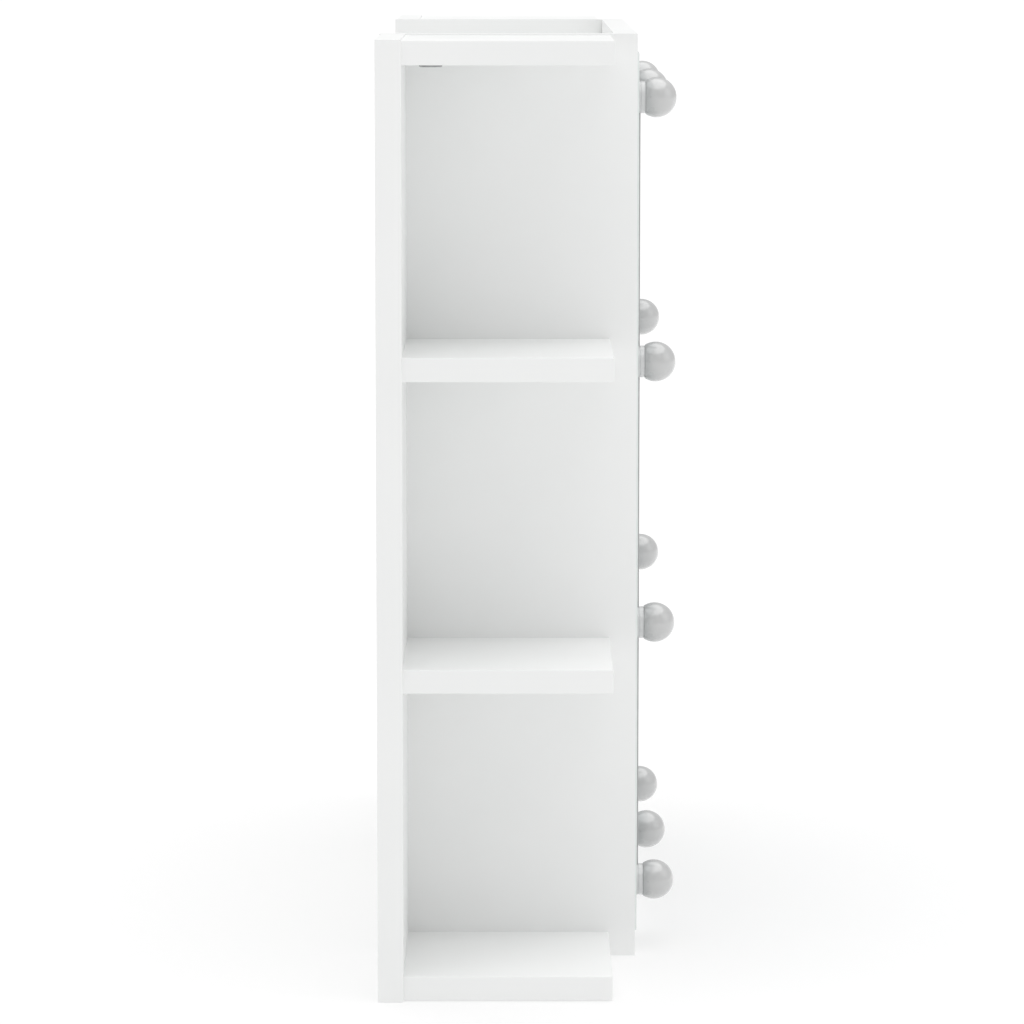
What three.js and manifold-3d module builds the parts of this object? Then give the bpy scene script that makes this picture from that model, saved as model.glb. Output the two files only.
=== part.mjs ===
// A wall-hung jewelry armoire: a white board cabinet behind a hinged mirror door that carries a ring of
// lamps, with an open shelf unit on each side.
// Millimetres, +Z up. The front faces -Y and the wall is at +Y. The origin is the middle of the base.

import * as THREE from "three";
import { mergeVertices } from "three/addons/utils/BufferGeometryUtils.js";
import Module from "manifold-3d";

const wasm = await Module();
wasm.setup();

// ---- Driving dimensions ----

const WIDTH = 700;
const HEIGHT = 600;
const DEPTH = 165;
const CORE_WIDTH = 430;
const BOARD = 15;
const GAP = 0.3;

const LAMP_REACH = 26.4;

const SHELF_BACK_BOARD = 16;
const SHELF_BACK_SET_IN = 0.8;
const SHELF_FRONT_SET_IN = 17.3;
const SHELF_END_SET_IN = 3;
const SHELF_HEIGHT_STEP = 0.9;

const TOP_RECESS = 15;
const BACK_PANEL = 3;
const INNER_SHELF = 12;
const INNER_SHELF_DEPTH = 105;
const INNER_SHELF_TOPS = { inner_shelf_upper: 270, inner_shelf_lower: 150 };

const DOOR_SIDE_GAP = 1.5;
const DOOR_BACK_GAP = 1.2;
const DOOR_FLOOR_GAP = 2;
const MIRROR = 3;
const MIRROR_PROUD = 1.65;
const MIRROR_SIDE_MARGIN = 3.5;
const MIRROR_END_MARGIN = 12.4;

const LAMP_PITCH = 172;
const LAMP_ROWS = 4;
const LAMP_SIDES = 16;
const GLOBE_RADIUS = 13;
const SOCKET_RADIUS = 10.4;
const SOCKET_LENGTH = 4.1;
const SOCKET_CHAMFER = 0.8;
const SPIGOT_RADIUS = 8;
const SPIGOT_LENGTH = 1.8;
const LEAD_WIDTH = 5;
const LEAD_THICKNESS = 1.1;
const LEAD_INNER_CORNER = 1;
const FEED_RADIUS = 2;
const FEED_BEND = 10;
const FEED_STRAIGHT = 2;
const CURVE_HANDLE = 0.55;

const HINGE_HEIGHT = 50;
const HINGE_LEAF = 1.2;
const HINGE_LEAF_WIDTH = 12;
const KNUCKLE_RADIUS = 3;
const MIDDLE_KNUCKLE = 18;
const PIN_RADIUS = 1.4;
const PIN_CLEARANCE = 0.1;
const PIN_LENGTH = 52;
const PIN_HEAD = { radius: 2.6, height: 1.2 };
const HINGE_CENTRES = { lower: 90, upper: 510 };

const DRIVER = { width: 75, depth: 18, height: 45, x: 147.5, z: 102.5 };
const BUTTON = { radius: 4.5, travel: 1.5, proud: 2.5, sunk: 2.4 };
const INLET = { radius: 5, bore: 3.5, length: 10, proud: 2, drill: 8 };

const GROMMET = { x: 160, z: 55, bore: 8, tube: 10, flange: 13, lip: 1.5 };
const HANGER = { width: 34, height: 19, x: 290, z: 493, plate: 2 };
const KEYHOLE = { entry: 4.6, neck: 2.5, drop: 3.2, rise: 7 };
const KEYHOLE_POCKET = { width: 14, depth: 8, height: 18 };
const CAM = { radius: 7.2, x: 320, fromBack: 34.6, depth: 10.5, proud: 1.8 };
const CAM_SLOT = { width: 1.8, length: 9, depth: 1 };
const CATCH = { width: 12, depth: 16, height: 40, z: 300, wall: 3, mouth: 1.5, gap: 0.5 };
const STRIKE = { width: 13, thickness: 1, height: 36, x: -190 };
const RAIL = { width: 360, height: 14, thickness: 9, z: 536, pegs: 9, pitch: 41, tilt: 10 };
const CUSHION = { width: 352, depth: 88, height: 26, corner: 10 };

// How far a cutting tool reaches past the face that it cuts, and how many sides round pieces have.
const OVERCUT = 1;
const ROUND_SIDES = 24;
const SMALL_SIDES = 16;
const PEG_SIDES = 10;

// ---- Planes worked out from them ----

const FRONT = LAMP_REACH - (DEPTH + LAMP_REACH) / 2;
const BACK = FRONT + DEPTH;
const CORE_X = CORE_WIDTH / 2;
const INNER_X = CORE_X - BOARD;
const END_X = WIDTH / 2;
const CARCASS_BACK = BACK - BACK_PANEL - GAP;

const MIRROR_FACE = FRONT - MIRROR_PROUD;
const DOOR_BACK = FRONT + BOARD;
const DOOR_X = INNER_X - DOOR_SIDE_GAP;

const HINGE_X = INNER_X - DOOR_SIDE_GAP / 2;
const HINGE_Y = FRONT - KNUCKLE_RADIUS - GAP;

// ---- Materials ----

function material(color, roughness, metalness) {
  return () => new THREE.MeshStandardMaterial({ color, roughness, metalness });
}

const whiteBoard = material(0xe9ebe9, 0.45, 0);
const mirrorGlass = material(0xdfe6e6, 0.04, 1);
const greyLead = material(0x8c8f8f, 0.6, 0);
const whitePlastic = material(0xe4e6e6, 0.3, 0);
const frostedGlobe = material(0xc9cbcc, 0.35, 0);
const blackPlastic = material(0x1c1c1e, 0.4, 0);
const zincSteel = material(0xb4b7ba, 0.35, 1);
const darkZinc = material(0x55585a, 0.5, 1);
const greyVelvet = material(0x9a9aa0, 0.95, 0);

// ---- Shapes, solids and placing ----

/** The two ends of a length centred on a value. */
function spread(middle, length) {
  return [middle - length / 2, middle + length / 2];
}

/** A rectangular block between two corners. */
function block([x0, x1], [y0, y1], [z0, z1]) {
  const mesh = new THREE.Mesh(new THREE.BoxGeometry(x1 - x0, y1 - y0, z1 - z0));
  mesh.position.set((x0 + x1) / 2, (y0 + y1) / 2, (z0 + z1) / 2);
  return mesh;
}

/** A round bar centred on a point, along X, Y or Z. */
function bar(radius, length, axis, at, sides = ROUND_SIDES) {
  const mesh = new THREE.Mesh(new THREE.CylinderGeometry(radius, radius, length, sides));
  if (axis === "x") mesh.rotation.z = Math.PI / 2;
  if (axis === "z") mesh.rotation.x = Math.PI / 2;
  mesh.position.set(...at);
  return mesh;
}

/** A profile of [radius, height] points turned about the Y axis. */
function lathe(profile, sides) {
  const points = profile.map(([r, y]) => new THREE.Vector2(r, y));
  return new THREE.Mesh(new THREE.LatheGeometry(points, sides));
}

/** The closed body of a mesh, in the frame that the mesh stands in. */
function solidOf(mesh) {
  mesh.updateMatrix();
  const geometry = mesh.geometry.clone().applyMatrix4(mesh.matrix);
  geometry.deleteAttribute("normal");
  geometry.deleteAttribute("uv");
  const merged = mergeVertices(geometry, 1e-4);
  const vertProperties = new Float32Array(merged.attributes.position.array);
  const triVerts = new Uint32Array(merged.index.array);
  return new wasm.Manifold(new wasm.Mesh({ numProp: 3, vertProperties, triVerts }));
}

/** Gives a mesh the shape of a solid, keeping the mesh's own place. */
function reshape(mesh, solid) {
  const { vertProperties, triVerts } = solid.getMesh();
  const geometry = new THREE.BufferGeometry();
  geometry.setAttribute("position", new THREE.BufferAttribute(vertProperties, 3));
  geometry.setIndex(new THREE.BufferAttribute(triVerts, 1));
  mesh.updateMatrix();
  geometry.applyMatrix4(mesh.matrix.clone().invert());
  geometry.computeVertexNormals();
  mesh.geometry = geometry;
  return mesh;
}

function cut(mesh, ...tools) {
  const solid = tools.reduce((left, tool) => left.subtract(solidOf(tool)), solidOf(mesh));
  return reshape(mesh, solid);
}

function join(mesh, ...others) {
  const solid = others.reduce((sum, other) => sum.add(solidOf(other)), solidOf(mesh));
  return reshape(mesh, solid);
}

/** Names a mesh, gives it a material of its own and hangs it in its group. */
function add(group, name, makeMaterial, mesh) {
  mesh.name = name;
  mesh.material = makeMaterial();
  group.add(mesh);
  return mesh;
}

// ---- Cabinet ----

function hingePocket(z, x) {
  const half = HINGE_HEIGHT / 2 + GAP;
  return block(x, [FRONT - OVERCUT, FRONT + HINGE_LEAF_WIDTH + GAP], [z - half, z + half]);
}

function sidePanel(group, name, side) {
  const x = side < 0 ? [-CORE_X, -INNER_X] : [INNER_X, CORE_X];
  const panel = add(group, name, whiteBoard, block(x, [FRONT, BACK], [0, HEIGHT]));
  if (side > 0) {
    const sunk = [INNER_X - OVERCUT, INNER_X + HINGE_LEAF + GAP];
    const pockets = Object.values(HINGE_CENTRES).map((z) => hingePocket(z, sunk));
    cut(panel, ...pockets);
  }
}

function cabinet(group) {
  const clear = INNER_X - GAP;
  const across = [-clear, clear];
  const through = [DOOR_BACK + DOOR_BACK_GAP, CARCASS_BACK];
  const topZ = HEIGHT - TOP_RECESS;

  sidePanel(group, "side_panel_left", -1);
  sidePanel(group, "side_panel_right", 1);
  add(group, "top_panel", whiteBoard, block(across, through, [topZ - BOARD, topZ]));
  add(group, "bottom_panel", whiteBoard, block(across, through, [TOP_RECESS, TOP_RECESS + BOARD]));

  const back = block(across, [BACK - BACK_PANEL, BACK], [TOP_RECESS, topZ]);
  add(group, "back_panel", whiteBoard, back);
  cut(back, bar(GROMMET.tube + GAP, 4 * BACK_PANEL, "y", [GROMMET.x, BACK, GROMMET.z]));

  for (const [name, top] of Object.entries(INNER_SHELF_TOPS)) {
    const reach = [CARCASS_BACK - INNER_SHELF_DEPTH, CARCASS_BACK];
    add(group, name, whiteBoard, block(across, reach, [top - INNER_SHELF, top]));
  }
}

/** A flanged sleeve that lines the cable hole, its flange inside the cabinet. */
function grommet(group) {
  const inner = BACK - BACK_PANEL - GAP - GROMMET.lip;
  const profile = [
    [GROMMET.bore, 0],
    [GROMMET.flange, 0],
    [GROMMET.flange, GROMMET.lip],
    [GROMMET.tube, GROMMET.lip],
    [GROMMET.tube, BACK - inner],
    [GROMMET.bore, BACK - inner],
    [GROMMET.bore, 0],
  ];
  const sleeve = lathe(profile, ROUND_SIDES);
  sleeve.position.set(GROMMET.x, inner, GROMMET.z);
  add(group, "cable_grommet", blackPlastic, sleeve);
}

/** A wall batten with a row of rounded pegs, slightly raised at their tips. */
function necklaceRail(group) {
  const face = CARCASS_BACK - RAIL.thickness;
  const rail = block(spread(0, RAIL.width), [face, CARCASS_BACK], spread(RAIL.z, RAIL.height));
  const profile = [[0, -4], [2.4, -4], [2.4, 24], [4.4, 26.5], [4, 30], [0, 31.8]];
  const pegs = [];
  for (let i = 0; i < RAIL.pegs; i += 1) {
    const peg = lathe(profile, PEG_SIDES);
    peg.rotation.x = Math.PI - THREE.MathUtils.degToRad(RAIL.tilt);
    peg.position.set((i - (RAIL.pegs - 1) / 2) * RAIL.pitch, face, RAIL.z);
    pegs.push(peg);
  }
  add(group, "necklace_rail", whitePlastic, join(rail, ...pegs));
}

/** The ring cushion's outer form: a long pad with rounded upper edges. */
function ringCushion(group) {
  const { width, depth, height, corner } = CUSHION;
  const outline = new THREE.Shape();
  outline.moveTo(-depth / 2, 0);
  outline.lineTo(depth / 2, 0);
  outline.lineTo(depth / 2, height - corner);
  outline.absarc(depth / 2 - corner, height - corner, corner, 0, Math.PI / 2, false);
  outline.absarc(corner - depth / 2, height - corner, corner, Math.PI / 2, Math.PI, false);
  outline.closePath();
  const options = { depth: width, bevelEnabled: false, curveSegments: 6 };
  const pad = new THREE.Mesh(new THREE.ExtrudeGeometry(outline, options));
  pad.rotation.set(Math.PI / 2, Math.PI / 2, 0);
  const middle = CARCASS_BACK - INNER_SHELF_DEPTH / 2;
  pad.position.set(-width / 2, middle, INNER_SHELF_TOPS.inner_shelf_upper + GAP);
  add(group, "ring_cushion", greyVelvet, pad);
}

// ---- Open shelf units ----

/** A flat plate in the plane of the wall, with a keyhole: a round entry and a narrow slot above it. */
function hangerPlate(group, name, x) {
  const inner = BACK - HANGER.plate;
  const plate = block(spread(x, HANGER.width), [inner, BACK], spread(HANGER.z, HANGER.height));
  const { neck, drop, rise } = KEYHOLE;
  const entry = bar(KEYHOLE.entry, 4 * HANGER.plate, "y", [x, BACK, HANGER.z - drop]);
  const through = [inner - OVERCUT, BACK + OVERCUT];
  const slot = block([x - neck, x + neck], through, [HANGER.z - drop, HANGER.z + rise]);
  add(group, name, zincSteel, cut(plate, entry, slot));
}

function shelfUnit(group, word, side) {
  const span = (near, far) => (side < 0 ? [-far, -near] : [near, far]);
  const rear = BACK - SHELF_BACK_SET_IN;
  const seam = rear - SHELF_BACK_BOARD;
  const back = block(span(CORE_X + GAP, END_X), [seam, rear], [0, HEIGHT]);
  const rebate = block(
    spread(side * HANGER.x, HANGER.width + 2 * GAP),
    [BACK - HANGER.plate - GAP, rear + OVERCUT],
    spread(HANGER.z, HANGER.height + 2 * GAP),
  );
  const pocket = block(
    spread(side * HANGER.x, KEYHOLE_POCKET.width),
    [rear - KEYHOLE_POCKET.depth, rear + OVERCUT],
    spread(HANGER.z, KEYHOLE_POCKET.height),
  );
  add(group, `${word}_shelf_back`, whiteBoard, cut(back, rebate, pocket));

  const clearHeight = (HEIGHT - 2 * SHELF_HEIGHT_STEP - 4 * BOARD) / 3;
  const names = ["bottom", "lower", "upper", "top"];
  names.forEach((name, i) => {
    const z0 = SHELF_HEIGHT_STEP + i * (clearHeight + BOARD);
    const x = span(CORE_X + GAP, END_X - SHELF_END_SET_IN);
    const y = [FRONT + SHELF_FRONT_SET_IN, seam - GAP];
    const board = block(x, y, [z0, z0 + BOARD]);
    add(group, `${word}_shelf_${name}`, whiteBoard, board);
    if (name === "top") camLock(group, word, side, board, z0);
  });
  hangerPlate(group, `${word}_hanger_plate`, side * HANGER.x);
}

/** A cam fitting let into the underside of a board, its cap standing a little proud. */
function camLock(group, word, side, board, underside) {
  const at = (z) => [side * CAM.x, BACK - CAM.fromBack, z];
  const bore = CAM.depth + GAP;
  cut(board, bar(CAM.radius + GAP, 2 * bore, "z", at(underside)));
  const length = CAM.depth + CAM.proud;
  const cam = bar(CAM.radius, length, "z", at(underside - CAM.proud + length / 2));
  const foot = underside - CAM.proud;
  const slot = block(
    spread(side * CAM.x, CAM_SLOT.width),
    spread(BACK - CAM.fromBack, CAM_SLOT.length),
    [foot - OVERCUT, foot + CAM_SLOT.depth],
  );
  add(group, `${word}_cam_lock`, darkZinc, cut(cam, slot));
}

// ---- Door ----

/** Lamp centres in order round the ring, from the lower left: up, across, down and back. */
function lampCentres() {
  const bottom = (HEIGHT - (LAMP_ROWS - 1) * LAMP_PITCH) / 2;
  const rows = Array.from({ length: LAMP_ROWS }, (_, i) => bottom + i * LAMP_PITCH);
  const column = (x, heights) => heights.map((z) => new THREE.Vector3(x, MIRROR_FACE, z));
  return [
    ...column(-LAMP_PITCH, rows),
    ...column(0, rows.slice(-1)),
    ...column(LAMP_PITCH, rows.toReversed()),
    ...column(0, rows.slice(0, 1)),
  ];
}

const LAMPS = lampCentres();
const FEED_LAMP = LAMPS.find((p) => p.x > 0 && p.z < HEIGHT / 2 && p.z > LAMP_PITCH);

/** The mirror's outline from its face back to a plane, grown by a margin. */
function mirrorPane(margin, back) {
  const x = DOOR_X - MIRROR_SIDE_MARGIN + margin;
  const z = [MIRROR_END_MARGIN - margin, HEIGHT - MIRROR_END_MARGIN + margin];
  return block([-x, x], [MIRROR_FACE, back], z);
}

function doorPanels(group) {
  const z = [DOOR_FLOOR_GAP, HEIGHT];
  const board = block([-DOOR_X, DOOR_X], [FRONT, DOOR_BACK], z);
  const sunk = [DOOR_X - HINGE_LEAF - GAP, DOOR_X + OVERCUT];
  const pockets = Object.values(HINGE_CENTRES).map((centre) => hingePocket(centre, sunk));
  const feedHole = bar(FEED_RADIUS + GAP, 4 * BOARD, "y", FEED_LAMP.toArray());
  const glass = mirrorPane(0, MIRROR_FACE + MIRROR);
  const rebate = mirrorPane(GAP, MIRROR_FACE + MIRROR + GAP);
  add(group, "door_board", whiteBoard, cut(board, rebate, feedHole, ...pockets));
  add(group, "mirror_glass", mirrorGlass, cut(glass, feedHole));
}

/** A cup that holds the globe's spigot, with channels in its back face for the lead. */
function socketShape(towards) {
  const r = SOCKET_RADIUS;
  const l = SOCKET_LENGTH;
  const bore = SPIGOT_RADIUS + GAP;
  const floor = l - SPIGOT_LENGTH - GAP;
  const outside = [[0, 0], [r, 0], [r, l - SOCKET_CHAMFER], [r - SOCKET_CHAMFER, l]];
  const inside = [[bore, l], [bore, floor], [0, floor]];
  const cup = lathe([...outside, ...inside], LAMP_SIDES);
  cup.rotation.x = Math.PI;
  cup.position.y = -GAP;
  const half = LEAD_WIDTH / 2 + GAP;
  const run = (way) => [way < 0 ? -2 * r : -half, way > 0 ? 2 * r : half];
  const channels = towards.map((way) =>
    block(run(way.x), [-GAP - LEAD_THICKNESS - GAP, GAP], run(way.z)),
  );
  return cut(cup, ...channels);
}

/** A round frosted globe, cut flat where it meets its socket, with a spigot that plugs into it. */
function globeShape() {
  const centre = LAMP_REACH - GLOBE_RADIUS - MIRROR_PROUD;
  const seat = GAP + SOCKET_LENGTH + GAP;
  const profile = [
    [0, seat - SPIGOT_LENGTH],
    [SPIGOT_RADIUS, seat - SPIGOT_LENGTH],
    [SPIGOT_RADIUS, seat],
  ];
  const start = Math.asin((seat - centre) / GLOBE_RADIUS);
  const steps = 8;
  for (let i = 0; i < steps; i += 1) {
    const a = start + ((Math.PI / 2 - start) * i) / steps;
    profile.push([GLOBE_RADIUS * Math.cos(a), centre + GLOBE_RADIUS * Math.sin(a)]);
  }
  profile.push([0, centre + GLOBE_RADIUS]);
  const globe = lathe(profile, LAMP_SIDES);
  globe.rotation.x = Math.PI;
  return globe;
}

function lamps(group) {
  LAMPS.forEach((centre, i) => {
    const neighbours = [LAMPS.at(i - 1), LAMPS[(i + 1) % LAMPS.length]];
    const towards = neighbours.map((other) => other.clone().sub(centre).normalize());
    const lamp = new THREE.Group();
    lamp.position.copy(centre);
    add(lamp, `lamp_socket_${i + 1}`, whitePlastic, socketShape(towards));
    add(lamp, `lamp_globe_${i + 1}`, frostedGlobe, globeShape());
    group.add(lamp);
  });
}

function rectanglePath(path, halfX, halfZ, r) {
  path.absarc(halfX - r, halfZ - r, r, 0, Math.PI / 2, false);
  path.absarc(r - halfX, halfZ - r, r, Math.PI / 2, Math.PI, false);
  path.absarc(r - halfX, r - halfZ, r, Math.PI, 1.5 * Math.PI, false);
  path.absarc(halfX - r, r - halfZ, r, 1.5 * Math.PI, 2 * Math.PI, false);
  path.closePath();
  return path;
}

/** The flat lead that links the lamps in one closed ring on the face of the glass. */
function lampLead(group) {
  const x = LAMP_PITCH;
  const z = ((LAMP_ROWS - 1) * LAMP_PITCH) / 2;
  const half = LEAD_WIDTH / 2;
  const outline = rectanglePath(new THREE.Shape(), x + half, z + half, LEAD_WIDTH);
  outline.holes.push(rectanglePath(new THREE.Path(), x - half, z - half, LEAD_INNER_CORNER));
  const options = { depth: LEAD_THICKNESS, bevelEnabled: false, curveSegments: 3 };
  const lead = new THREE.Mesh(new THREE.ExtrudeGeometry(outline, options));
  lead.rotation.x = Math.PI / 2;
  lead.position.set(0, MIRROR_FACE - GAP, HEIGHT / 2);
  add(group, "lamp_lead", greyLead, lead);
}

/** The round lead from the ring, back through the door and down to the lamp driver. */
function feedLead(group) {
  const { x, z } = FEED_LAMP;
  const turn = DOOR_BACK + FEED_STRAIGHT;
  const run = turn + FEED_BEND;
  const driverTop = DRIVER.z + DRIVER.height / 2;
  const path = new THREE.CurvePath();
  const at = (y, height) => new THREE.Vector3(x, y, height);
  path.add(new THREE.LineCurve3(at(MIRROR_FACE, z), at(turn, z)));
  path.add(
    new THREE.CubicBezierCurve3(
      at(turn, z),
      at(turn + CURVE_HANDLE * FEED_BEND, z),
      at(run, z - (1 - CURVE_HANDLE) * FEED_BEND),
      at(run, z - FEED_BEND),
    ),
  );
  path.add(new THREE.LineCurve3(at(run, z - FEED_BEND), at(run, driverTop + GAP)));
  const section = new THREE.Shape().absarc(0, 0, FEED_RADIUS, 0, 2 * Math.PI);
  const options = { steps: 18, extrudePath: path, curveSegments: 5, bevelEnabled: false };
  add(group, "feed_lead", greyLead, new THREE.Mesh(new THREE.ExtrudeGeometry(section, options)));
}

/** The lamp driver on the back of the door, with its supply inlet below and its push button. */
function driver(group) {
  const face = DOOR_BACK + GAP + DRIVER.depth;
  const z0 = DRIVER.z - DRIVER.height / 2;
  const across = spread(DRIVER.x, DRIVER.width);
  const box = block(across, [DOOR_BACK + GAP, face], spread(DRIVER.z, DRIVER.height));
  const well = BUTTON.sunk + BUTTON.travel + GAP;
  const buttonX = DRIVER.x - DRIVER.width / 4;
  const buttonBore = bar(BUTTON.radius + GAP, 2 * well, "y", [buttonX, face, DRIVER.z]);
  const middle = DOOR_BACK + GAP + DRIVER.depth / 2;
  const sunk = INLET.length - INLET.proud;
  const inletBore = bar(INLET.radius + GAP, 2 * (sunk + GAP), "z", [DRIVER.x, middle, z0]);
  add(group, "driver_box", whitePlastic, cut(box, buttonBore, inletBore));

  const inletZ = z0 - INLET.proud + INLET.length / 2;
  const inlet = bar(INLET.radius, INLET.length, "z", [DRIVER.x, middle, inletZ]);
  const jack = bar(INLET.bore, 2 * INLET.drill, "z", [DRIVER.x, middle, z0 - INLET.proud]);
  add(group, "dc_inlet", blackPlastic, cut(inlet, jack));

  const length = BUTTON.proud + BUTTON.sunk;
  const buttonY = face + BUTTON.proud - length / 2;
  add(group, "power_button", blackPlastic, bar(BUTTON.radius, length, "y", [buttonX, buttonY, DRIVER.z]));
}

function catchAndStrike(group, doorGroup) {
  const wall = -INNER_X + GAP;
  const strikeY = DOOR_BACK + GAP;
  const catchY = strikeY + STRIKE.thickness + CATCH.gap;
  const body = block(
    [wall, wall + CATCH.width],
    [catchY, catchY + CATCH.depth],
    spread(CATCH.z, CATCH.height),
  );
  const mouth = block(
    [wall + CATCH.wall, wall + CATCH.width - CATCH.wall],
    [catchY - OVERCUT, catchY + CATCH.mouth],
    spread(CATCH.z, CATCH.height / 2),
  );
  add(group, "magnet_catch", whitePlastic, cut(body, mouth));
  const plate = block(
    spread(STRIKE.x, STRIKE.width),
    [strikeY, strikeY + STRIKE.thickness],
    spread(CATCH.z, STRIKE.height),
  );
  add(doorGroup, "strike_plate", zincSteel, plate);
}

// ---- Hinges ----

/** One leaf: a plate let into its board, and knuckles joined to it by webs. */
function hingeLeaf(x, z, knuckles) {
  const half = HINGE_HEIGHT / 2;
  const plate = block(x, [FRONT + GAP, FRONT + HINGE_LEAF_WIDTH], [z - half, z + half]);
  const parts = knuckles.flatMap(([z0, z1]) => [
    bar(KNUCKLE_RADIUS, z1 - z0, "z", [HINGE_X, HINGE_Y, z + (z0 + z1) / 2], SMALL_SIDES),
    block(x, [HINGE_Y, FRONT + OVERCUT], [z + z0, z + z1]),
  ]);
  join(plate, ...parts);
  const bore = PIN_RADIUS + PIN_CLEARANCE;
  return cut(plate, bar(bore, 2 * HINGE_HEIGHT, "z", [HINGE_X, HINGE_Y, z], SMALL_SIDES));
}

function hinges(group, doorGroup) {
  const end = HINGE_HEIGHT / 2;
  const inner = MIDDLE_KNUCKLE / 2;
  for (const [word, z] of Object.entries(HINGE_CENTRES)) {
    const frameX = [INNER_X, INNER_X + HINGE_LEAF];
    const doorX = [DOOR_X - HINGE_LEAF, DOOR_X];
    const outerKnuckles = [[-end, -inner - GAP], [inner + GAP, end]];
    add(group, `hinge_${word}_frame_leaf`, zincSteel, hingeLeaf(frameX, z, outerKnuckles));
    add(doorGroup, `hinge_${word}_door_leaf`, zincSteel, hingeLeaf(doorX, z, [[-inner, inner]]));
    const pin = bar(PIN_RADIUS, PIN_LENGTH, "z", [HINGE_X, HINGE_Y, z], SMALL_SIDES);
    const headZ = z + end + GAP + PIN_HEAD.height / 2;
    const head = bar(PIN_HEAD.radius, PIN_HEAD.height, "z", [HINGE_X, HINGE_Y, headZ], SMALL_SIDES);
    add(group, `hinge_${word}_pin`, zincSteel, join(pin, head));
  }
}

// ---- Assembly ----

const armoire = new THREE.Group();
const carcass = new THREE.Group();
const door = new THREE.Group();
armoire.add(carcass, door);

cabinet(carcass);
grommet(carcass);
necklaceRail(carcass);
ringCushion(carcass);
shelfUnit(carcass, "left", -1);
shelfUnit(carcass, "right", 1);
doorPanels(door);
lampLead(door);
lamps(door);
feedLead(door);
driver(door);
catchAndStrike(carcass, door);
hinges(carcass, door);

export default armoire;
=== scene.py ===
"""A white wall-hung jewelry armoire: a cabinet behind a hinged mirror door with a ring of round
lamps, and an open shelf unit on each side. Metres, +Z up; the front faces -Y."""

import math

import bmesh
import bpy
from mathutils import Matrix, Vector


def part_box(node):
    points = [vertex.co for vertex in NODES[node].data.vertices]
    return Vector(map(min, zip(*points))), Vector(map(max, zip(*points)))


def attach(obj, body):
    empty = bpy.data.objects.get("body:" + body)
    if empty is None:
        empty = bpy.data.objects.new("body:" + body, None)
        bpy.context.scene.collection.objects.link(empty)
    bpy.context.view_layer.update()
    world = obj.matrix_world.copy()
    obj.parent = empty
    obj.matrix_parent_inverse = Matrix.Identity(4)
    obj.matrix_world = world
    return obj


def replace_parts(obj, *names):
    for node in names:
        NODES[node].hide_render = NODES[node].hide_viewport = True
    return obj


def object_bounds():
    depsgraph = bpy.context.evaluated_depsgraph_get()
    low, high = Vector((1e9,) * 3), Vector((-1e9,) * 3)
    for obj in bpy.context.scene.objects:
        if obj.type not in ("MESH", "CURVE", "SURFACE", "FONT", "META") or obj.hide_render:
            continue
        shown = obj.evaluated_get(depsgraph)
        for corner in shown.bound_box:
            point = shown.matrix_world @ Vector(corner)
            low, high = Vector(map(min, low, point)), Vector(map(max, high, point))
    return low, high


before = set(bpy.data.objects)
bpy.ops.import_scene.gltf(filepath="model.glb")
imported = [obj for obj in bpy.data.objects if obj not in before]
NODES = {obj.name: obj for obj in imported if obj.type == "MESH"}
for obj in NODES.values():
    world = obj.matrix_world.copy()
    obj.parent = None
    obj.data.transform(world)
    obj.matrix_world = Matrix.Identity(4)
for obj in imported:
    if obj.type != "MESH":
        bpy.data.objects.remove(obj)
cad_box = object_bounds()

MM = 0.001
FRONT_FACING = Matrix.Rotation(math.radians(90), 4, "X")
WALL_FACING = Matrix.Rotation(math.radians(-90), 4, "X")
RIGHT_FACING = Matrix.Rotation(math.radians(90), 4, "Y")
LEFT_FACING = Matrix.Rotation(math.radians(-90), 4, "Y")
DOWN_FACING = Matrix.Rotation(math.radians(180), 4, "X")
UP_FACING = Matrix.Identity(4)


# ---- Camera, floor and light ----


def camera():
    """Looks at the left end from a little above, along +X, on a long lens."""
    away, aside, above, pitch = 2.879, 0.011, 0.0756, 7.246
    lo, hi = cad_box
    data = bpy.data.cameras.new("camera")
    data.sensor_width = 36
    data.lens = 165.25
    data.clip_end = 200
    cam = bpy.data.objects.new("camera", data)
    cam.location = (lo.x - away, (lo.y + hi.y) / 2 + aside, hi.z + above)
    cam.rotation_euler = (math.radians(90 - pitch), 0, math.radians(-90))
    bpy.context.collection.objects.link(cam)
    bpy.context.scene.camera = cam


def floor():
    """A plain pale floor at the object's foot that runs on to the horizon."""
    half = 80
    mesh = bpy.data.meshes.new("floor")
    corners = [(-half, -half, 0), (half, -half, 0), (half, half, 0), (-half, half, 0)]
    mesh.from_pydata(corners, [], [(0, 1, 2, 3)])
    ground = bpy.data.objects.new("floor", mesh)
    bpy.context.collection.objects.link(ground)
    glow = {"Emission_Color": (1, 1, 1, 1), "Emission_Strength": 0.45}
    mesh.materials.append(material("floor_white", (0.5, 0.5, 0.5), 0.9, **glow))


def softbox(name, place, target, size, power):
    """A square area light that faces its target."""
    data = bpy.data.lights.new(name, "AREA")
    data.shape = "SQUARE"
    data.size = size
    data.energy = power
    lamp = bpy.data.objects.new(name, data)
    lamp.location = place
    lamp.rotation_euler = (Vector(target) - Vector(place)).to_track_quat("-Z", "Y").to_euler()
    bpy.context.collection.objects.link(lamp)


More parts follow.
